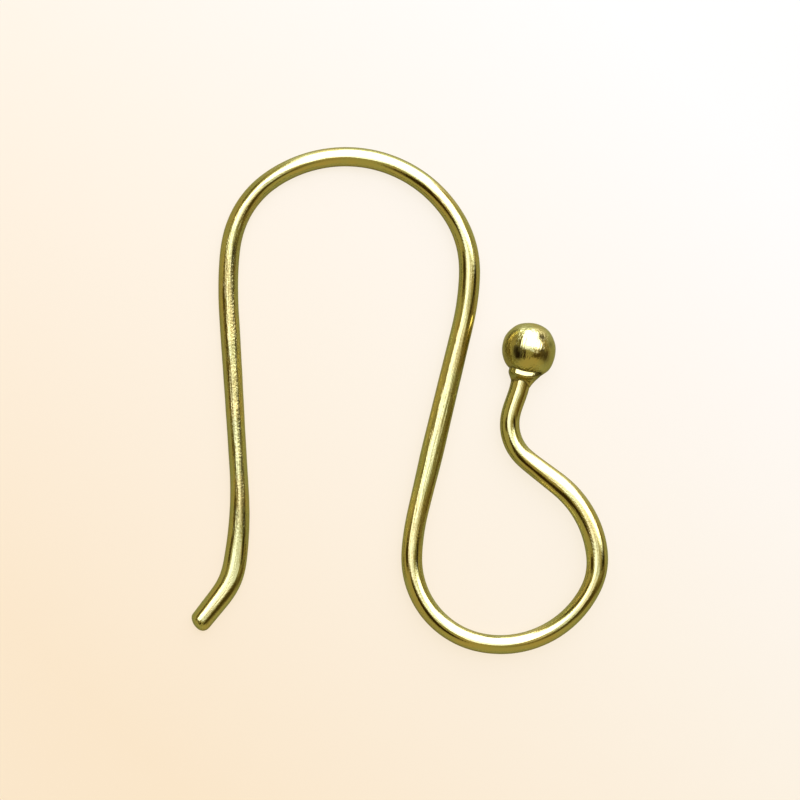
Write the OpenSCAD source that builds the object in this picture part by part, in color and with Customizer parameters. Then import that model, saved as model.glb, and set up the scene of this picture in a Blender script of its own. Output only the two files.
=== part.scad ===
// Ear wire with a ball end.
//
// One length of round wire is bent in a single plane. From its free end it runs as a turned-out
// tail, the back leg, the crown that goes over the ear lobe, the front shank and the loop that
// holds a drop. A reverse bend and a short neck follow, and a ball is soldered to the neck in a
// small collar. It is all one piece of metal.
//
// It lies as it would on a table: on its ball and on the left side of its wire. The crown points
// to +Y and the ball is on the +X side. The origin is on the table, under the middle of the
// outline. Lengths are in millimetres and angles in degrees.

/* [Wire] */
// Diameter of the wire as drawn
wire_d = 0.81; // [0.6:0.01:1.1]

/* [Tail] */
// Length of the dome that rounds off the free end
dome_len = 0.35; // [0.15:0.05:0.6]
// Straight part of the tail
tail_run = 1.28; // [0.6:0.02:2.4]
// Radius of the bend between the tail and the back leg
tail_r = 2.6; // [1.6:0.1:5]
// Angle that the tail is turned out by
tail_angle = 42; // [20:1:60]

/* [Hook] */
// Straight part of the back leg
leg_len = 6.6; // [4:0.1:10]
// Lean of the back leg from upright, out from the middle of the hook
leg_angle = 3.5; // [0:0.5:8]
// Radius of the crown over its top
crown_r = 5.1; // [4:0.1:7]
// Straight part of the front shank
shank_len = 7.65; // [5:0.05:12]
// Lean of the front shank from upright, towards the back leg
shank_angle = 13.5; // [8:0.5:20]

/* [Hanging loop] */
// Radius of the loop at its bottom
loop_r = 4; // [3:0.1:5.5]
// Angle that the wire turns by, round the loop
loop_angle = 246; // [230:1:255]
// Straight part between the loop and the reverse bend
loop_run = 1.55; // [0.8:0.05:3]
// Radius of the reverse bend
kick_r = 1.8; // [1:0.05:3]
// Angle of the reverse bend
kick_angle = 73; // [55:1:90]

/* [Ball end] */
// Straight part of the neck
neck_len = 0.6; // [0.3:0.05:2]
// Radius of the slight bend that brings the neck back under the ball
neck_r = 3; // [1.5:0.1:6]
// Angle of that slight bend
neck_angle = 7; // [0:1:15]
// Length over which the neck widens into the collar
flare_len = 0.4; // [0.2:0.05:0.8]
// How far the collar stands out from the wire all round
collar_wall = 0.17; // [0.05:0.01:0.3]
// Length of the collar that shows under the ball
collar_len = 0.2; // [0.1:0.05:0.6]
// Diameter of the ball
ball_d = 2.15; // [1.8:0.05:3.2]

/* [Hidden] */
metal = [0.74, 0.68, 0.36];
// Sides of the wire's section, a multiple of 4 so that a corner points up and one down
sides = 20;
// Turn between two sections of a bend, and steps along the dome and the flare
bend_step = 6;
end_steps = 5;
ball_fn = 64;
// Angle round the dome at which its end is cut flat
dome_stop = 75;

crown_angle = 180 + leg_angle + shank_angle;

// The wire from the dome to the neck, a row for each stretch: [name, length of a straight or
// radius of a bend, turn to the left, width across the wire at its end as a share of wire_d].
// Pliers and a hammer have left the wire wider in some places and narrower in others. Its depth
// stays wire_d.
start_share = 1.07;
STRETCHES = [
    ["tail",         tail_run,        0,                   1.14],
    ["tail bend",    tail_r,          0.7 * tail_angle,    1.16],
    ["tail ease",    6.2 * tail_r,    0.3 * tail_angle,    0.88],
    ["back leg",     leg_len,         0,                   0.98],
    ["crown rise",   3.05 * crown_r,  -0.04 * crown_angle, 0.98],
    ["crown rise",   1.2 * crown_r,   -0.04 * crown_angle, 0.98],
    ["crown left",   0.74 * crown_r,  -0.22 * crown_angle, 0.94],
    ["crown top",    1.03 * crown_r,  -0.19 * crown_angle, 0.96],
    ["crown top",    crown_r,         -0.29 * crown_angle, 0.98],
    ["crown right",  0.78 * crown_r,  -0.16 * crown_angle, 1.05],
    ["crown fall",   2 * crown_r,     -0.06 * crown_angle, 1.03],
    ["shank",        0.7 * shank_len, 0,                   1.12],
    ["shank",        0.3 * shank_len, 0,                   1.02],
    ["loop fall",    2.45 * loop_r,   0.04 * loop_angle,   1.04],
    ["loop left",    0.86 * loop_r,   0.34 * loop_angle,   0.94],
    ["loop bottom",  1.01 * loop_r,   0.3 * loop_angle,    0.97],
    ["loop right",   0.62 * loop_r,   0.13 * loop_angle,   1.1],
    ["loop rise",    1.02 * loop_r,   0.19 * loop_angle,   1.1],
    ["loop run",     loop_run,        0,                   1],
    ["reverse bend", kick_r,          -kick_angle,         0.95],
    ["neck",         neck_len,        0,                   0.95],
    ["neck bend",    neck_r,          neck_angle,          0.97]
];

// A section is [place along X, place along Y, heading, half its width, half its depth], in the
// plane that the wire is bent in. This gives the one that lies part of the way along a stretch.
function along(from, row, part) =
    let (turn = row[2],
         h = from[2] + part * turn,
         side = sign(turn),
         x = turn == 0 ? part * row[1] * cos(h) : side * row[1] * (sin(h) - sin(from[2])),
         y = turn == 0 ? part * row[1] * sin(h) : side * row[1] * (cos(from[2]) - cos(h)),
         half = from[3] + part * (row[3] * wire_d / 2 - from[3]))
    [from[0] + x, from[1] + y, h, half, wire_d / 2];

// The section at the start of each stretch, and at the end of the last
first = [0, 0, 90 + leg_angle - tail_angle, start_share * wire_d / 2, wire_d / 2];
STARTS = [
    for (i = 0, at = first; i <= len(STRETCHES);
         at = i < len(STRETCHES) ? along(at, STRETCHES[i], 1) : at, i = i + 1) at
];
neck_end = STARTS[len(STRETCHES)];

bent = [
    for (i = [0 : len(STRETCHES) - 1])
    let (row = STRETCHES[i], steps = max(1, ceil(abs(row[2]) / bend_step)))
    for (k = [1 : steps]) along(STARTS[i], row, k / steps)
];

// A section moved by a distance along its own heading, with the half width and half depth given
function moved(s, by, half, depth) =
    [s[0] + by * cos(s[2]), s[1] + by * sin(s[2]), s[2], half, depth];

// The dome narrows to a small flat at the free end
dome = [
    for (k = [end_steps : -1 : 1])
    let (a = dome_stop * k / end_steps)
    moved(first, -dome_len * sin(a) / sin(dome_stop), cos(a) * first[3], cos(a) * first[4])
];

// The flare curves out to the collar, which ends inside the ball, half way to its centre
ball_rad = ball_d / 2;
collar_rad = wire_d / 2 + collar_wall;
seat = sqrt(pow(ball_rad, 2) - pow(collar_rad, 2));
ball_rise = flare_len + collar_len + seat;
flare = [
    for (k = [1 : end_steps])
    let (t = k / end_steps, out = 1 - cos(90 * t))
    moved(neck_end, t * flare_len,
        neck_end[3] + out * (collar_rad - neck_end[3]),
        neck_end[4] + out * (collar_rad - neck_end[4]))
];
collar_end = moved(neck_end, ball_rise - seat / 2, collar_rad, collar_rad);
ball_at = moved(neck_end, ball_rise, ball_rad, ball_rad);

sections = concat(dome, [first], bent, flare, [collar_end]);

// At rest, a straightedge along the left side touches the wire at the start of the tail and at
// the crown. The wire is tilted about that line until the ball touches the table as well.
rest_line = max([for (s = bent) atan2(s[1], s[0])]);
ball_out = ball_at[0] * sin(rest_line) - ball_at[1] * cos(rest_line);
tilt = asin((ball_d - wire_d) / 2 / ball_out);

// A point of the bent wire's own plane, turned about the line at rest_line
function tilted(x, y, z) =
    let (lengthwise = x * cos(rest_line) + y * sin(rest_line),
         out = x * sin(rest_line) - y * cos(rest_line),
         across = out * cos(tilt) - z * sin(tilt))
    [lengthwise * cos(rest_line) + across * sin(rest_line),
     lengthwise * sin(rest_line) - across * cos(rest_line),
     out * sin(tilt) + z * cos(tilt)];

// The corners of a section, round it from its left side
function ring(s) = [
    for (i = [0 : sides - 1])
    let (a = 360 * i / sides, left = s[3] * cos(a))
    tilted(s[0] - left * sin(s[2]), s[1] + left * cos(s[2]), s[4] * sin(a))
];

skin = [for (s = sections) each ring(s)];
ball_centre = tilted(ball_at[0], ball_at[1], 0);
outline_x = concat([for (p = skin) p[0]], [ball_centre[0] - ball_rad, ball_centre[0] + ball_rad]);
outline_y = concat([for (p = skin) p[1]], [ball_centre[1] - ball_rad, ball_centre[1] + ball_rad]);
to_rest = [
    -(min(outline_x) + max(outline_x)) / 2,
    -(min(outline_y) + max(outline_y)) / 2,
    wire_d / 2
];

module bent_wire() {
    last = len(sections) - 1;
    walls = [
        for (k = [0 : last - 1]) for (i = [0 : sides - 1])
        let (j = (i + 1) % sides, a = k * sides, b = a + sides)
        each [[a + i, b + i, b + j], [a + i, b + j, a + j]]
    ];
    caps = [[for (i = [0 : sides - 1]) i], [for (i = [sides - 1 : -1 : 0]) last * sides + i]];
    color(metal) polyhedron([for (p = skin) p + to_rest], concat(walls, caps), convexity = 4);
}

module ball() {
    color(metal) translate(ball_centre + to_rest) sphere(d = ball_d, $fn = ball_fn);
}

// The solder joins the ball and the wire into one solid
module ear_wire() {
    bent_wire();
    ball();
}

ear_wire();
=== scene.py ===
# %% [markdown]
# # Ear wire with a ball end
#
# A fish-hook ear wire is one length of wire, bent on pliers, with a small ball soldered to its end.
# This lesson sweeps a wire section along a middle line in numpy, so that every plier mark, the
# domed tip and the solder round the ball are in one mesh. Then it mixes a worn gold finish and
# lights it as small jewellery is lit on a bench.

# %% The frame
import math

import bpy
import numpy as np
from mathutils import Matrix, Vector, noise
from mathutils.bvhtree import BVHTree


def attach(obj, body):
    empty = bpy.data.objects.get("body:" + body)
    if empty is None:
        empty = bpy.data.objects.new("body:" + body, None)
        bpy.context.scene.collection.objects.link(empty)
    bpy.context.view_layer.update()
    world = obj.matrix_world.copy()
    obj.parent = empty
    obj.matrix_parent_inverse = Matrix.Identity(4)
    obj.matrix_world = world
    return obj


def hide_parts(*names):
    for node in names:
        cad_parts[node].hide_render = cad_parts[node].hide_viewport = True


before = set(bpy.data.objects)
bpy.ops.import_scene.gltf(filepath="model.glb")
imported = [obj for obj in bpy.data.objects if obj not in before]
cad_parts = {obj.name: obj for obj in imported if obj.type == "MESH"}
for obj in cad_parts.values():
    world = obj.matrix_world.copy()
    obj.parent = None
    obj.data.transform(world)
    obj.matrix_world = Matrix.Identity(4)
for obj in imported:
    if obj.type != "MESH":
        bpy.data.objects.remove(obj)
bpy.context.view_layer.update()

# %% [markdown]
# ## The middle line
#
# A bent wire is easiest to describe as a maker would bend it: so far straight, then so many degrees
# round a former of this radius. Along such a route the heading changes evenly, so numpy can look it
# up at any distance and add up small steps. A real wire never goes from straight to bent in one
# point, so the heading is smoothed a little first. Lengths are in millimetres here.

# %% Bends and straights
# The same sizes as in the source of the solid model, in millimetres and degrees
WIRE_D = 0.81
TAIL_RUN, TAIL_R, TAIL_ANGLE = 1.28, 2.6, 42
LEG_LEN, LEG_ANGLE, CROWN_R = 6.6, 3.5, 5.1
SHANK_LEN, SHANK_ANGLE = 7.65, 13.5
LOOP_R, LOOP_ANGLE, LOOP_RUN = 4, 246, 1.55
KICK_R, KICK_ANGLE = 1.8, 73
NECK_LEN, NECK_R, NECK_ANGLE = 0.6, 3, 7
CROWN_ANGLE = 180 + LEG_ANGLE + SHANK_ANGLE

# Each row: length of a straight or radius of a bend, turn to the left, width at its end / WIRE_D
STRETCHES = [
    (TAIL_RUN, 0, 1.14),
    (TAIL_R, 0.7 * TAIL_ANGLE, 1.16),
    (6.2 * TAIL_R, 0.3 * TAIL_ANGLE, 0.88),
    (LEG_LEN, 0, 0.98),
    (3.05 * CROWN_R, -0.04 * CROWN_ANGLE, 0.98),
    (1.2 * CROWN_R, -0.04 * CROWN_ANGLE, 0.98),
    (0.74 * CROWN_R, -0.22 * CROWN_ANGLE, 0.94),
    (1.03 * CROWN_R, -0.19 * CROWN_ANGLE, 0.96),
    (CROWN_R, -0.29 * CROWN_ANGLE, 0.98),
    (0.78 * CROWN_R, -0.16 * CROWN_ANGLE, 1.05),
    (2 * CROWN_R, -0.06 * CROWN_ANGLE, 1.03),
    (0.7 * SHANK_LEN, 0, 1.12),
    (0.3 * SHANK_LEN, 0, 1.02),
    (2.45 * LOOP_R, 0.04 * LOOP_ANGLE, 1.04),
    (0.86 * LOOP_R, 0.34 * LOOP_ANGLE, 0.94),
    (1.01 * LOOP_R, 0.3 * LOOP_ANGLE, 0.97),
    (0.62 * LOOP_R, 0.13 * LOOP_ANGLE, 1.1),
    (1.02 * LOOP_R, 0.19 * LOOP_ANGLE, 1.1),
    (LOOP_RUN, 0, 1),
    (KICK_R, -KICK_ANGLE, 0.95),
    (NECK_LEN, 0, 0.95),
    (NECK_R, NECK_ANGLE, 0.97),
]
START_HEADING = 90 + LEG_ANGLE - TAIL_ANGLE
START_SHARE = 1.07

# Distance between two rings, and the lengths over which the heading and the width are smoothed
RING_GAP = 0.05
BEND_BLUR = 0.5
WIDTH_BLUR = 0.9

runs = [size * math.radians(abs(turn)) if turn else size for size, turn, _ in STRETCHES]
stops = np.concatenate([[0], np.cumsum(runs)])
headings = START_HEADING + np.concatenate([[0], np.cumsum([row[1] for row in STRETCHES])])
shares = np.array([START_SHARE] + [row[2] for row in STRETCHES])
ring_count = round(stops[-1] / RING_GAP)
distance = np.linspace(0, stops[-1], ring_count + 1)
step = distance[1]
print("wire:", round(stops[-1], 2), "mm from the dome to the neck,", ring_count, "steps")


# %% A line of rings
def blurred(values, width):
    """Evens a row of values out over a width along the wire, twice."""
    span = max(1, round(width / step / 2))
    for _ in range(2):
        padded = np.concatenate([2 * values[0] - values[span:0:-1], values,
                                 2 * values[-1] - values[-2:-span - 2:-1]])
        values = np.convolve(padded, np.full(2 * span + 1, 1 / (2 * span + 1)), mode="valid")
    return values


heading = np.radians(blurred(np.interp(distance, stops, headings), BEND_BLUR))
share = blurred(np.interp(distance, stops, shares), WIDTH_BLUR)
midway = (heading[1:] + heading[:-1]) / 2
line_x = np.concatenate([[0], np.cumsum(np.cos(midway)) * step])
line_y = np.concatenate([[0], np.cumsum(np.sin(midway)) * step])
print("neck end at", round(line_x[-1], 3), round(line_y[-1], 3), "heading",
      round(math.degrees(heading[-1]), 1))

# %% [markdown]
# ## Tip and ball
#
# The free end was cut with nippers and rounded with a file, so it isn't a neat half sphere: it is
# blunt and a little askew. At the other end a ball sits in a bead of solder. Both could be separate
# meshes, but a buried seam shows as a hard line in polished metal. So both ends are more rings of
# the same sweep, with a radius that depends on the place round the wire as well.

# %% Dome rings
# Its length in mm, its power (2 for a half sphere, more for a blunt end), how many rings it has,
# and how small the first of them may get
DOME_LEN = 0.35
DOME_BLUNT = 2.15
DOME_RINGS = 20
SMALLEST_RING = 0.004

dome_turn = np.linspace(math.pi / 2, 0, DOME_RINGS, endpoint=False)
dome_back = -DOME_LEN * np.sin(dome_turn) ** (2 / DOME_BLUNT)
dome_scale = np.maximum(np.cos(dome_turn), SMALLEST_RING) ** (2 / DOME_BLUNT)
print("dome:", DOME_RINGS, "rings over", DOME_LEN, "mm")

# %% Ball rings
FLARE_LEN, COLLAR_WALL, COLLAR_LEN, BALL_D = 0.4, 0.17, 0.2, 2.15
BALL_R = BALL_D / 2
COLLAR_R = WIRE_D / 2 + COLLAR_WALL
SEAT = math.sqrt(BALL_R ** 2 - COLLAR_R ** 2)
BALL_RISE = FLARE_LEN + COLLAR_LEN + SEAT
SOLDER_RING_GAP = 0.02
BALL_RINGS = 78

# Places along the axis past the neck: close together where the surface turns away from the axis
root_rise = np.arange(SOLDER_RING_GAP, FLARE_LEN + COLLAR_LEN, SOLDER_RING_GAP)
start_turn = math.acos(-SEAT / BALL_R)
ball_turn = np.linspace(start_turn, 0, BALL_RINGS)[1:]
ball_rise = BALL_RISE + BALL_R * np.cos(ball_turn)
end_rise = np.concatenate([root_rise, ball_rise])
print("ball end:", len(end_rise), "rings over", round(end_rise[-1], 2), "mm")

# %% [markdown]
# ## The sections
#
# Round wire that has been squeezed in pliers is wider one way and thinner the other, with flatter
# faces. A superellipse gives that: its power is 2 for a circle and a little more where the wire is
# wide. The bead of solder under the ball could be sculpted by hand, but as sums it is easier to
# change: it and the ball are radii round the axis, and a soft maximum joins them with a small groove.

# %% Places round the section
SIDES = 56
round_turn = np.linspace(0, 2 * math.pi, SIDES, endpoint=False)
leftward = np.cos(round_turn)
upward = np.sin(round_turn)
print("section:", SIDES, "places, from the left side over the front")


def squeezed(left, up, power):
    """Points of a superellipse: the power is 2 for a circle."""
    turn = round_turn[None, :]
    shape = 2 / power
    return (left * np.sign(np.cos(turn)) * np.abs(np.cos(turn)) ** shape,
            up * np.sign(np.sin(turn)) * np.abs(np.sin(turn)) ** shape)


def around(left, right, front, back):
    """Blends four values smoothly round the section."""
    across = leftward ** 2 * (left * (1 + leftward) + right * (1 - leftward)) / 2
    updown = upward ** 2 * (front * (1 + upward) + back * (1 - upward)) / 2
    return across + updown


def squarish(left, right, front, back, power):
    """Radii of a rounded square that reaches this far to its four sides."""
    aside = np.abs(leftward) / np.where(leftward > 0, left, right)
    above = np.abs(upward) / np.where(upward > 0, front, back)
    return (aside ** power + above ** power) ** (-1 / power)


def eased(part):
    """Smooth step from 0 to 1."""
    part = np.clip(part, 0, 1)
    return part * part * (3 - 2 * part)


# %% Wire sections
# Where pliers made the wire wider, they made it thinner by this share of the change, and this
# much is added to the power of its section for each whole width that it grew
THINNER = 0.35
SQUARER = 2.2

width = share * WIRE_D / 2
depth = WIRE_D / 2 * (1 - THINNER * (share - 1))
power = 2 + SQUARER * np.clip(share - 1, 0, 1)
wire_left, wire_up = squeezed(width[:, None], depth[:, None], power[:, None])
dome_left, dome_up = squeezed(dome_scale[:, None] * width[0], dome_scale[:, None] * depth[0],
                              power[0])
print("wire:", round(2 * float(width.min()), 2), "to", round(2 * float(width.max()), 2), "mm wide")

# %% Ball and solder sections
# The bead starts at bead_from past the neck, just inside the wire, and is widest at bead_peak, where
# its radius is bead_out. Then it narrows by bead_fall for each mm. Each has four values: for the
# left, the right, the front and the back. The bead's section is a rounded square of this power.
JUST_INSIDE = 0.98
BEAD_POWER = 3

rise = end_rise[:, None]
neck_left, neck_up = squeezed(np.full_like(rise, width[-1]), np.full_like(rise, depth[-1]), 2)
neck_out = np.hypot(neck_left, neck_up)
bead_from = around(0.03, -0.12, 0.2, 0.08)
bead_peak = around(0.47, 0.62, 0.42, 0.46)
bead_out = squarish(0.585, 0.66, 0.62, 0.60, BEAD_POWER)
bead_fall = around(0.12, 0.1, 0.2, 0.12)
bead_swell = eased((rise - bead_from) / (bead_peak - bead_from))
bead = (JUST_INSIDE * neck_out + (bead_out - neck_out) * bead_swell
        - bead_fall * np.clip(rise - bead_peak, 0, None))
ball_out = np.sqrt(np.clip(BALL_R ** 2 - (rise - BALL_RISE) ** 2, 0, None)) + 0 * neck_out


def joined(one, other, soft):
    """The larger of two radii, with the corner between them rounded by soft."""
    gap = np.clip(0.5 + (one - other) / (2 * soft), 0, 1)
    return other + (one - other) * gap + soft * gap * (1 - gap)


# Inside the ball the wire and the bead fade out. Their corners are rounded by these lengths.
FADE_FROM, FADE_OVER = 0.75, 0.3
BALL_CORNER = around(0.05, 0.16, 0.025, 0.06)
WIRE_CORNER = 0.02

past_seat = eased((rise - FADE_FROM) / FADE_OVER)
soldered = joined(bead * (1 - past_seat), ball_out, BALL_CORNER)
soldered = joined(soldered, neck_out * (1 - past_seat), WIRE_CORNER)
end_left = soldered * leftward
end_up = soldered * upward
print("largest radius of the ball end:", round(float(soldered.max()), 3))

# %% [markdown]
# ## Where it lies
#
# The wire is drawn flat and then tilted until it rests on its ball and on two places of its left
# side, which is how it lies on a table. It could be turned by hand until it looks right, but the
# source of the solid model works the tilt out from the sizes. The same sums here make the two fit.

# %% Points in the frame
# The direction of the line that it rests on, and where the solid model has the base of the dome
REST_LINE = math.radians(85.5906)
DOME_BASE = (-7.91397, -8.77802, 0.405)

ball_x = line_x[-1] + BALL_RISE * math.cos(heading[-1])
ball_y = line_y[-1] + BALL_RISE * math.sin(heading[-1])
rest_out = ball_x * math.sin(REST_LINE) - ball_y * math.cos(REST_LINE)
TILT = math.asin((BALL_D - WIRE_D) / 2 / rest_out)

along_rest = Vector((math.cos(REST_LINE), math.sin(REST_LINE), 0))
out_of_rest = Vector((math.sin(REST_LINE), -math.cos(REST_LINE), 0))
plane_normal = out_of_rest * -math.sin(TILT) + Vector((0, 0, math.cos(TILT)))
out_tilted = out_of_rest * math.cos(TILT) + Vector((0, 0, math.sin(TILT)))
plane_x = along_rest * math.cos(REST_LINE) + out_tilted * math.sin(REST_LINE)
plane_y = along_rest * math.sin(REST_LINE) - out_tilted * math.cos(REST_LINE)
TURN_TO_REST = np.array([plane_x, plane_y, plane_normal])
print("tilt:", round(math.degrees(TILT), 3), "degrees")


def placed(drawn):
    """Turns points of the flat drawing, in mm, into points of the frame, in mm."""
    return drawn @ TURN_TO_REST + np.array(DOME_BASE)


# %% All rings
turned = heading[:, None]
ends_heading = [np.full((DOME_RINGS, 1), heading[0]), turned, np.full_like(rise, heading[-1])]
ring_heading = np.concatenate(ends_heading)
ring_x = np.concatenate([dome_back * math.cos(heading[0]), line_x,
                         line_x[-1] + end_rise * math.cos(heading[-1])])[:, None]
ring_y = np.concatenate([dome_back * math.sin(heading[0]), line_y,
                         line_y[-1] + end_rise * math.sin(heading[-1])])[:, None]
ring_at = np.concatenate([dome_back, distance, distance[-1] + end_rise])[:, None]
left = np.concatenate([dome_left, wire_left, end_left])
up = np.concatenate([dome_up, wire_up, end_up])

# The tip was cut askew: its rings lean over by up to this share of the width
DOME_SKEW = 0.16
lean = np.zeros_like(ring_at)
lean[:DOME_RINGS, 0] = DOME_SKEW * dome_back / -DOME_LEN
slide = lean * left

drawn = np.stack([
    ring_x - left * np.sin(ring_heading) + slide * np.cos(ring_heading),
    ring_y + left * np.cos(ring_heading) + slide * np.sin(ring_heading),
    up + 0 * ring_x,
], axis=2)
straight = np.stack([left, up, ring_at + 0 * left], axis=2)
print("rings:", len(drawn), "of", SIDES, "points")

# %% [markdown]
# ## Wear, pits, stains and painted dark reflections
#
# Nothing made by hand is even. The ball froze from molten metal, so it has shallow lumps, a few
# pits and stains of soldering flux; dark spots painted on its upper face stand in for reflections
# of dark things round it. The back leg was sanded, and is grainy and slightly mottled.
# A bump map could draw all of it, but it can't change an outline. So everything down to a quarter
# of a millimetre is moved in the mesh, along the surface normal, and only the finer grain is left
# to the material.

# %% Normals of the sweep
ahead = np.gradient(drawn, axis=0)
beside = np.roll(drawn, -1, axis=1) - np.roll(drawn, 1, axis=1)
outward = np.cross(beside, ahead)
outward /= np.maximum(np.linalg.norm(outward, axis=2, keepdims=True), 1e-12)
centre_line = np.stack([ring_x, ring_y, 0 * ring_x], axis=2)
outward *= np.sign(np.sum((drawn - centre_line) * outward, axis=2).mean())
print("all normals known:", bool(np.isfinite(outward).all()))


def lumps(points, wave, seed):
    """Smooth noise between about -1 and 1 with bumps of one wave length, at each point."""
    # Each seed starts somewhere else in the noise
    flat = (points.reshape(-1, 3) / wave + np.array([seed, 7.3 * seed, 1.7 * seed]))
    return np.array([noise.noise(Vector(p)) for p in flat.tolist()]).reshape(points.shape[:2])


# %% How worn each stretch is
# From 0 for polished to 1 for sanded
PLAIN_WEAR, LEG_WEAR, SHANK_WEAR, FILED_WEAR, BALL_WEAR = 0.35, 0.65, 0.45, 0.8, 0.8
# Where each stretch starts and ends along the wire, and over what length it fades in and out
LEG = (3.2, 15.5, 1.5, 2)
SHANK = (31, 39, 3, 2)
FILED_LEN = 0.6
BALL_FROM, BALL_FADE = 0.25, 0.45


def stretch(start, end, fade_in, fade_out):
    """1 on a stretch of the wire and 0 away from it."""
    return eased((ring_at - start) / fade_in) * (1 - eased((ring_at - end) / fade_out))


on_leg = stretch(*LEG)
on_shank = stretch(*SHANK)
on_ball = eased((ring_at - distance[-1] - BALL_FROM) / BALL_FADE) + 0 * left
filed = 1 - eased((ring_at + DOME_LEN) / FILED_LEN)
wear = PLAIN_WEAR + LEG_WEAR * on_leg + SHANK_WEAR * on_shank + FILED_WEAR * filed
wear = np.clip(wear, 0, 1) + 0 * left
print("wear:", round(float(wear.min()), 2), "to", round(float(wear.max()), 2))

# %% Lumps, pits, stains and painted dark reflections of the ball
ball_centre = np.array([ball_x, ball_y, 0])
from_centre = drawn - ball_centre
from_centre /= np.maximum(np.linalg.norm(from_centre, axis=2, keepdims=True), 1e-9)

# Each row: direction from the middle of the ball, how far the surface moves out, spread in degrees
BALL_LUMPS = [
    ((0.57, -0.82, 0.1), 0.11, 28),
    ((0.1, 1, 0.1), -0.035, 35),
]
# Pits, in the same way
BALL_PITS = [
    ((0.52, 0.43, 0.73), -0.022, 8),
    ((-0.47, -0.10, 0.87), -0.016, 8),
    ((0.62, -0.2, 0.76), -0.008, 7),
    ((-0.55, -0.5, -0.67), -0.012, 6),
    ((0.35, -0.5, -0.79), -0.010, 5),
]
# Flux stains underneath, and dark spots painted on the upper face that stand in for reflections of
# dark things round the ball: direction, how dark, spread in degrees
BALL_STAINS_AND_DARK_REFLECTIONS = [
    ((0.50, 0.43, 0.75), 1.0, 9),
    ((-0.47, 0.02, 0.88), 0.7, 8),
    ((-0.46, -0.14, 0.88), 1.0, 9),
    ((-0.44, -0.30, 0.85), 0.9, 9),
    ((-0.66, 0.32, 0.68), 0.35, 12),
    ((0.55, -0.18, 0.82), 0.5, 12),
    ((0.62, -0.38, 0.69), 0.45, 12),
    ((0.80, 0.15, 0.58), 0.5, 7),
    ((-0.3, 0.1, -0.95), 0.5, 14),
    ((0.2, -0.75, -0.63), 0.6, 12),
    ((0.37, -0.86, 0.35), 1.0, 6),
]
# All over it: height and wave length in mm, and the seed of the noise
BALL_WAVES = [
    (0.026, 0.75, 3),
    (0.013, 0.35, 5),
]


def patch(direction, spread):
    """1 in one direction from the middle of the ball, falling off over the spread."""
    turned_to = np.clip(from_centre @ np.array(Vector(direction).normalized()), -1, 1)
    return np.exp(-(np.degrees(np.arccos(turned_to)) / spread) ** 2) * on_ball


moved = np.zeros(drawn.shape[:2])
stains_and_dark_reflections = np.zeros_like(moved)
for direction, amount, spread in BALL_LUMPS + BALL_PITS:
    moved += amount * patch(direction, spread)
for direction, dark, spread in BALL_STAINS_AND_DARK_REFLECTIONS:
    stains_and_dark_reflections += dark * patch(direction, spread)
for height, wave, seed in BALL_WAVES:
    moved += on_ball * height * lumps(drawn, wave, seed)
print("ball:", len(BALL_LUMPS), "lumps,", len(BALL_PITS), "pits,", len(BALL_STAINS_AND_DARK_REFLECTIONS), "stains")

# %% Mottling of the wire
# Each row: height and wave length in mm, how much longer a wave is along the wire, and the seed
WORN_WAVES = [
    (0.005, 0.5, 1 / 0.5, 11),
    (0.002, 0.25, 1 / 0.7, 13),
]
BENDING_WAVE = (0.006, 1.1, 1 / 0.35, 17)


def along_wire(wave, longer, seed):
    """Noise on the straight wire, with its waves drawn out along the wire."""
    return lumps(straight * (1, 1, 1 / longer), wave, seed)


for height, wave, longer, seed in WORN_WAVES:
    moved += (1 - on_ball) * wear * height * along_wire(wave, longer, seed)
height, wave, longer, seed = BENDING_WAVE
moved += (1 - on_ball) * height * along_wire(wave, longer, seed)
drawn = drawn + outward * moved[:, :, None]
print("surface moved by", round(float(moved.min()), 3), "to", round(float(moved.max()), 3), "mm")

# %% [markdown]
# ## The mesh
#
# A curve with a bevel could make a wire too, but its section couldn't change round the wire. So the
# rings become one skin of quads, with a fan of triangles at each end. The points also carry three
# attributes for the material: where they were while the wire was straight, how worn the place is,
# and how brown it is with old flux, painted shade in the creases and painted dark reflections.

# %% Skin
ring_total = len(drawn)
points = placed(drawn.reshape(-1, 3))
tip = placed((drawn[0].mean(axis=0))[None, :])
pole = placed((drawn[-1].mean(axis=0))[None, :])
points = np.concatenate([points, tip, pole])
# It lies on the table, so nothing goes through it
points[:, 2] = np.maximum(points[:, 2], 0.0)
tip_index, pole_index = len(points) - 2, len(points) - 1

faces = []
for ring in range(ring_total - 1):
    here, there = ring * SIDES, (ring + 1) * SIDES
    for i in range(SIDES):
        j = (i + 1) % SIDES
        faces.append((here + i, here + j, there + j, there + i))
last = (ring_total - 1) * SIDES
for i in range(SIDES):
    j = (i + 1) % SIDES
    faces.append((tip_index, j, i))
    faces.append((pole_index, last + i, last + j))

mesh = bpy.data.meshes.new("bent_wire_with_ball")
mesh.from_pydata((points / 1000).tolist(), [], faces)
mesh.validate()
mesh.polygons.foreach_set("use_smooth", [True] * len(mesh.polygons))
ear_wire = bpy.data.objects.new("bent_wire_with_ball", mesh)
bpy.context.scene.collection.objects.link(ear_wire)
print("mesh:", len(mesh.vertices), "points,", len(mesh.polygons), "faces")


# %% Attributes for the finish
def carry(name, kind, field, values, at_tip, at_pole):
    """Writes a value for each point of the mesh as an attribute."""
    rows = np.concatenate([values.reshape(ring_total * SIDES, -1), [at_tip], [at_pole]])
    mesh.attributes.new(name, kind, "POINT").data.foreach_set(field, rows.astype(float).ravel())


# Painted shade darkens the groove at the foot of the bead and the seam under the ball, and old flux
# darkens the solder
FOOT_SHADE, SOLDER_FLUX = 0.6, 0.3
FOOT_RISE, FOOT_WIDTH, SEAM_WIDTH, SEAM_SOFT = 0.05, 0.06, 0.03, 0.01
SEAM_FROM, SEAM_TO = 0.4, 1.0
SOLDER_FROM, SOLDER_FADE, SOLDER_TO, SOLDER_END = 0.2, 0.2, 0.75, 0.15

# Painted shade in the groove at the foot of the bead and in the seam where the bead meets the ball
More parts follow.
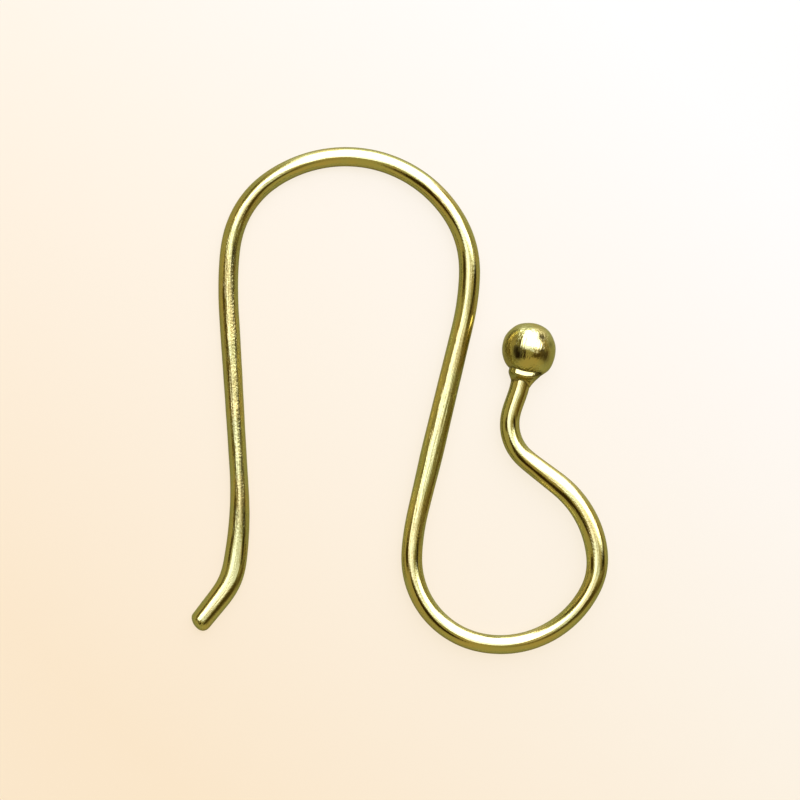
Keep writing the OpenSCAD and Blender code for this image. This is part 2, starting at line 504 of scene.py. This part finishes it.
foot_shade = FOOT_SHADE * np.exp(-((rise - bead_from - FOOT_RISE) / FOOT_WIDTH) ** 2)
seam_shade = np.exp(-((joined(bead, 0 * bead, SEAM_SOFT) - ball_out) / SEAM_WIDTH) ** 2)
seam_shade = seam_shade * (rise < SEAM_TO) * (rise > SEAM_FROM)
solder = (SOLDER_FLUX * eased((rise - SOLDER_FROM) / SOLDER_FADE)
          * eased((SOLDER_TO - rise) / SOLDER_END) + 0 * bead)
# How brown each place is: painted shade in the groove and the seam, old flux on the solder, and the
# stains and painted dark reflections of the ball
flux = np.concatenate([np.zeros((DOME_RINGS + len(distance), SIDES)),
                       np.maximum(foot_shade, np.maximum(seam_shade, solder))])
flux = np.clip(flux + stains_and_dark_reflections, 0, 1)
wear = wear + (BALL_WEAR - wear) * on_ball

carry("straight", "FLOAT_VECTOR", "vector", straight, straight[0].mean(axis=0),
      straight[-1].mean(axis=0))
carry("wear", "FLOAT", "value", wear, [wear[0, 0]], [BALL_WEAR])
carry("flux", "FLOAT", "value", flux, [0], [0])
print("attributes:", "straight, wear, flux")

# %% Its place in the frame
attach(ear_wire, "root")
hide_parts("ear_wire")
print("rides on root, in place of the solid ear_wire")

# %% How well it fits the solid
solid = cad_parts["ear_wire"]
solid_mesh = solid.data
tree = BVHTree.FromPolygons([solid.matrix_world @ v.co for v in solid_mesh.vertices],
                            [tuple(p.vertices) for p in solid_mesh.polygons])
gaps = [tree.find_nearest(Vector(p / 1000))[3] * 1000 for p in points[::7]]
print("from the solid:", round(sum(gaps) / len(gaps), 4), "mm on average,", round(max(gaps), 3),
      "mm at most")

# %% [markdown]
# ## Shader maths in Python
#
# A material is a graph of nodes, and long chains of Math nodes are hard to read. This class wraps
# one socket, so that a sum or product in Python adds the node that works it out. Every other kind
# of node comes from one method, which sets the node up and links what it is given.


# %% Shade
class Shade:
    """A socket of a node tree that takes part in Python's arithmetic."""

    def __init__(self, tree, socket=None):
        self.tree = tree
        self.socket = socket

    def node(self, kind, settings=None, sockets=None, out=0):
        """Adds a node: settings come first, then a value or a Shade for each socket."""
        made = self.tree.nodes.new(kind)
        for name, value in (settings or {}).items():
            if name == "stops":
                ramp = made.color_ramp.elements
                while len(ramp) < len(value):
                    ramp.new(0.5)
                for stop, (place, colour) in zip(ramp, value):
                    stop.position = place
                    stop.color = colour
            else:
                setattr(made, name, value)
        for name, value in (sockets or {}).items():
            if isinstance(value, Shade):
                self.tree.links.new(value.socket, made.inputs[name])
            else:
                made.inputs[name].default_value = value
        return Shade(self.tree, made.outputs[out]) if out is not None else None

    def maths(self, work, first, second=0.0):
        """A Math node that does one sum."""
        return self.node("ShaderNodeMath", {"operation": work}, {0: first, 1: second})

    def __add__(self, other):
        return self.maths("ADD", self, other)

    def __sub__(self, other):
        return self.maths("SUBTRACT", self, other)

    def __rsub__(self, other):
        return self.maths("SUBTRACT", other, self)

    def __mul__(self, other):
        return self.maths("MULTIPLY", self, other)

    def root(self):
        """The square root."""
        return self.maths("SQRT", self)

    def size(self):
        """The value without its sign."""
        return self.maths("ABSOLUTE", self)

    __radd__ = __add__
    __rmul__ = __mul__

    def between(self, low, high):
        """0 below low and 1 above high, smooth in between."""
        return self.node("ShaderNodeMapRange", {"interpolation_type": "SMOOTHSTEP"},
                         {"Value": self, "From Min": low, "From Max": high})

    def tinted(self, amount):
        """This colour or vector times a number."""
        return self.node("ShaderNodeVectorMath", {"operation": "SCALE"},
                         {0: self, "Scale": amount})

    def mixed(self, one, other):
        """A colour that goes from one to the other as this value goes from 0 to 1."""
        # The Mix node has sockets for each kind of data: 6, 7 and output 2 are the colours
        return self.node("ShaderNodeMix", {"data_type": "RGBA"}, {0: self, 6: one, 7: other}, 2)


def new_finish(name):
    """An empty material, and the Shade that starts its nodes."""
    material = bpy.data.materials.new(name)
    material.use_nodes = True
    material.node_tree.nodes.clear()
    return material, Shade(material.node_tree)


print("Shade is ready")

# %% [markdown]
# ## Worn gold
#
# The metal is a greenish yellow gold, polished in the bends and grainy on the back leg. Painting
# highlights and dark lines on it would be wrong: polished gold takes nearly all of its look from
# what it mirrors, so its own colour is only a patchy mix of two golds. What makes it look handled
# is in the relief: draw lines along the wire and a fine grain where it was sanded. Old flux makes
# it brown and dull, and the same brown is painted into the creases under the ball as shade and onto
# the ball's upper face as dark reflections. Heights are in millimetres, and the attribute with the
# places on the straight wire keeps the lines running round every bend.

# %% Gold finish
GREEN_GOLD = (0.50, 0.46, 0.165, 1)
WARM_GOLD = (0.55, 0.45, 0.15, 1)
# Brown of old flux, also painted as shade in the creases under the ball and as dark reflections on
# the ball
FLUX_AND_PAINTED_DARK_BROWN = (0.03, 0.02, 0.006, 1)
# What the metal reflects where it turns away from the eye
EDGE_TINT = (0.80, 0.76, 0.55, 1)
# Roughness of the polished metal, and what wear, uneven wear, and flux with the painted shade and
# dark reflections add to it
POLISHED, WORN, UNEVEN, FLUX_AND_PAINTED_DARK_DULL = 0.07, 0.01, 0.07, 0.2
# Heights in mm where the metal is polished, and what full wear adds
LINES_POLISHED, LINES_WORN = 0.002, 0.032
GRAIN_POLISHED, GRAIN_WORN = 0.0006, 0.0062
# Each kind of noise: how fast it changes along the wire when across it is 1, bumps in a mm, detail
PATCHES = (0.5, 1.3, 2.0)
DULLNESS = (0.7, 5.0, 2.0)
GRAIN = (0.7, 16.0, 3.0)
DRAW_LINES = (0.05, 7.5, 3.0)
# The values of the first noise between which one gold turns into the other
PATCH_EDGE = (0.4, 0.62)
# A millimetre, in Blender's metres
MM = 0.001

gold, gold_nodes = new_finish("worn_gold")
place = gold_nodes.node("ShaderNodeAttribute", {"attribute_name": "straight"}, out=1)
worn = gold_nodes.node("ShaderNodeAttribute", {"attribute_name": "wear"}, out=2)
flux_and_painted_dark_amount = gold_nodes.node("ShaderNodeAttribute", {"attribute_name": "flux"}, out=2)


def speckle(along, scale, detail):
    """Noise from 0 to 1 on the straight wire, drawn out along it."""
    drawn_out = gold_nodes.node("ShaderNodeVectorMath", {"operation": "MULTIPLY"},
                                {0: place, 1: (1.0, 1.0, along)})
    return gold_nodes.node("ShaderNodeTexNoise", None,
                           {"Vector": drawn_out, "Scale": scale, "Detail": detail})


patches = speckle(*PATCHES).between(*PATCH_EDGE)
grain = speckle(*GRAIN)
coarse = speckle(*DULLNESS)
draw_lines = speckle(*DRAW_LINES)

metal = patches.mixed(GREEN_GOLD, WARM_GOLD)
# Old flux, the painted shade in the creases and the painted dark reflections on the ball turn the
# gold brown
metal = flux_and_painted_dark_amount.mixed(metal, FLUX_AND_PAINTED_DARK_BROWN)
dull = POLISHED + worn * (WORN + UNEVEN * coarse) + flux_and_painted_dark_amount * FLUX_AND_PAINTED_DARK_DULL
relief = ((draw_lines - 0.5) * (LINES_WORN * worn + LINES_POLISHED)
          + (grain - 0.5) * (GRAIN_WORN * worn + GRAIN_POLISHED))
bumped = gold_nodes.node("ShaderNodeBump", None,
                         {"Strength": 1.0, "Distance": MM, "Height": relief})
skin = gold_nodes.node("ShaderNodeBsdfPrincipled", None, {
    "Base Color": metal,
    "Metallic": 1.0,
    "Roughness": dull,
    "Specular Tint": EDGE_TINT,
    "Normal": bumped,
})
gold_nodes.node("ShaderNodeOutputMaterial", None, {"Surface": skin}, None)
ear_wire.data.materials.append(gold)
print("gold:", len(gold.node_tree.nodes), "nodes")

# %% [markdown]
# ## The ground
#
# It lies on a plain pale sheet that goes from warm cream to near white across the picture. A light
# from one side could make that change, but it would also change the metal. So the sheet is a plane
# under the wire, coloured by its own coordinates. The colour then stays where it is when the camera
# moves. Seen directly, nearly all of the sheet's brightness is a glow, which keeps shadows as faint
# as on a lit table. In the metal it is mirrored as a duller sheet, or the underside of the wire
# would be too bright.

# %% Sheet
SHEET = 0.6
SHEET_STOPS = [
    (0.12, (0.97, 0.785, 0.53, 1)),
    (0.50, (0.985, 0.882, 0.712, 1)),
    (0.88, (1.0, 0.968, 0.912, 1)),
]
GLOW = 0.885
SHEET_SHADE = 0.02
SHEET_ROUGH, SHEET_UNEVEN = 0.32, 0.1
# The width in metres over which the colour changes, and how many paper fibres there are in a metre
FADE_WIDTH = 0.064
FIBRES = 900.0
MIRRORED_SHEET = (0.24, 0.23, 0.105, 1)

bpy.ops.mesh.primitive_plane_add(size=SHEET, location=(0, 0, 0))
sheet = bpy.context.object
sheet.name = "paper_ground"
paper, paper_nodes = new_finish("pale_paper")
where = paper_nodes.node("ShaderNodeTexCoord", out="Object")
across = paper_nodes.node("ShaderNodeSeparateXYZ", None, {0: where}, 0)
upwards = paper_nodes.node("ShaderNodeSeparateXYZ", None, {0: where}, 1)
diagonal = 0.5 + (across + upwards) * (1 / FADE_WIDTH)
cream = paper_nodes.node("ShaderNodeValToRGB", {"stops": SHEET_STOPS}, {0: diagonal})
straight_on = paper_nodes.node("ShaderNodeLightPath", out="Is Camera Ray")
fibres = paper_nodes.node("ShaderNodeTexNoise", None, {"Vector": where, "Scale": FIBRES})
shaded = cream.tinted(SHEET_SHADE)
cover = paper_nodes.node("ShaderNodeBsdfPrincipled", None, {
    "Base Color": straight_on.mixed(MIRRORED_SHEET, shaded),
    "Roughness": SHEET_ROUGH + fibres * SHEET_UNEVEN,
    "Emission Color": straight_on.mixed((0, 0, 0, 1), cream),
    "Emission Strength": GLOW,
})
paper_nodes.node("ShaderNodeOutputMaterial", None, {"Surface": cover}, None)
sheet.data.materials.append(paper)
print("sheet:", SHEET, "m wide")

# %% [markdown]
# ## Light
#
# Polished wire is a curved mirror, so what stands round it matters more than how much light falls
# on it. Lamps alone leave it black between their reflections. Here a large soft panel at the upper
# right lights the sheet and the wire, and the rest is a warm room with a few dark things in it,
# whose reflections are the dark lines that make metal look like metal. All of it is painted on the
# world. The easiest way to place such a thing is by the tilt of the metal that will show it to a
# camera straight above: 0 is a face that looks up, and 1 is the edge of the wire. So the room is
# painted in those units, (across, upwards).

# %% The room
WALLS = (0.57, 0.50, 0.24, 1)
# Each row: middle, reach and soft edge, in tilts across and upwards, and the colour
ROOM = [
    # The wall below, a dark doorway, a dark shelf and the dim end of the shelf
    ((0.05, -0.55), (0.50, 0.25), 0.30, (0.60, 0.52, 0.25, 1)),
    ((-0.22, -0.23), (0.12, 0.19), 0.08, (0.05, 0.025, 0.004, 1)),
    ((0.30, -0.25), (0.24, 0.12), 0.12, (0.10, 0.07, 0.015, 1)),
    ((0.62, -0.20), (0.15, 0.12), 0.16, (0.18, 0.13, 0.04, 1)),
    # The pale light that comes back from below the panel
    ((0.14, -0.07), (0.10, 0.05), 0.05, (1.5, 1.6, 2.2, 1)),
    # Dark things at the left and at the right, and the light ceiling between them
    ((-0.43, 0.0), (0.12, 0.07), 0.05, (0.08, 0.05, 0.01, 1)),
    ((0.46, -0.02), (0.15, 0.08), 0.06, (0.05, 0.035, 0.01, 1)),
    ((-0.08, 0.01), (0.14, 0.05), 0.05, (2.5, 2.7, 4.2, 1)),
    # The dark edge beside the panel
    ((-0.37, 0.28), (0.04, 0.22), 0.04, (0.07, 0.055, 0.015, 1)),
]
PANEL_WHITE = (5.5, 5.8, 8.0, 1)
PANEL_MIDDLE = (0.11, 0.41)
PANEL_REACH = (0.33, 0.35)
PANEL_SOFT = 0.06
# Something dark in front of the panel's lower right corner, and what a low camera sees behind
BY_THE_PANEL = ((0.58, 0.12), (0.04, 0.10), 0.06, (0.05, 0.04, 0.01, 1))
BACKDROP = (0.97, 0.92, 0.86, 1)

world = bpy.data.worlds.new("warm_room")
bpy.context.scene.world = world
world.use_nodes = True
world.node_tree.nodes.clear()
room = Shade(world.node_tree)
sight = room.node("ShaderNodeTexCoord", out="Generated")
halfway = room.node("ShaderNodeVectorMath", {"operation": "ADD"}, {0: sight, 1: plane_normal})
face = room.node("ShaderNodeVectorMath", {"operation": "NORMALIZE"}, {0: halfway})


def tilt_along(axis):
    """How far the mirroring face is tilted towards one axis of the drawing."""
    return room.node("ShaderNodeVectorMath", {"operation": "DOT_PRODUCT"}, {0: face, 1: axis},
                     "Value")


tilt_across = tilt_along(plane_x)
tilt_upwards = tilt_along(plane_y)


def away(socket, middle, reach):
    """Distance from the middle, where 1 is the reach."""
    return (socket - middle) * (1 / reach)


def oval(middle, reach, soft):
    """1 inside an oval of tilts and 0 outside it."""
    aside = away(tilt_across, middle[0], reach[0])
    above = away(tilt_upwards, middle[1], reach[1])
    far = (aside * aside + above * above).root()
    edge = soft / min(reach)
    return 1 - far.between(max(1 - edge / 2, 0), 1 + edge / 2)


def oblong(middle, reach, soft):
    """1 inside a rectangle of tilts and 0 outside it."""
    inside_x = 1 - away(tilt_across, middle[0], reach[0]).size().between(
        1 - soft / reach[0], 1 + soft / reach[0])
    inside_y = 1 - away(tilt_upwards, middle[1], reach[1]).size().between(
        1 - soft / reach[1], 1 + soft / reach[1])
    return inside_x * inside_y


around_us = room.node("ShaderNodeRGB")
around_us.socket.default_value = WALLS
for middle, reach, soft, colour in ROOM:
    around_us = oval(middle, reach, soft).mixed(around_us, colour)
around_us = oblong(PANEL_MIDDLE, PANEL_REACH, PANEL_SOFT).mixed(around_us, PANEL_WHITE)
middle, reach, soft, colour = BY_THE_PANEL
around_us = oval(middle, reach, soft).mixed(around_us, colour)
seen = room.node("ShaderNodeLightPath", out="Is Camera Ray")
shown = seen.mixed(around_us, BACKDROP)
lit = room.node("ShaderNodeBackground", None, {"Color": shown, "Strength": 1.0})
room.node("ShaderNodeOutputWorld", None, {"Surface": lit}, None)
print("room:", len(world.node_tree.nodes), "nodes")

# %% [markdown]
# ## Camera
#
# The photograph was taken from straight above the plane of the wire. An orthographic camera would
# show nearly the same outline, but photographs are taken through a lens. A long lens keeps the wire
# from looking different at the edges of the picture. The width of the view is known: 800 pixels of
# 0.04 mm each.

# %% Camera
PIXEL = 0.04
PICTURE = 800 * PIXEL * MM
LENS, SENSOR = 250.0, 36.0
# The middle of the picture, as a point of the flat drawing in mm
PICTURE_MIDDLE = (7.945, 8.807, 0)
aim = Vector(placed(np.array([PICTURE_MIDDLE]))[0]) / 1000
camera_distance = PICTURE * LENS / SENSOR

lens = bpy.data.cameras.new("camera")
lens.lens = LENS
lens.sensor_width = SENSOR
lens.clip_start = 0.005
camera = bpy.data.objects.new("camera", lens)
bpy.context.scene.collection.objects.link(camera)
camera_turn = Matrix((plane_x, plane_y, plane_normal)).transposed().to_4x4()
camera.matrix_world = Matrix.Translation(aim + plane_normal * camera_distance) @ camera_turn
bpy.context.scene.camera = camera
bpy.context.scene.view_settings.view_transform = "Standard"
bpy.context.scene.view_settings.look = "None"
print("camera", round(camera_distance, 4), "m from the wire")
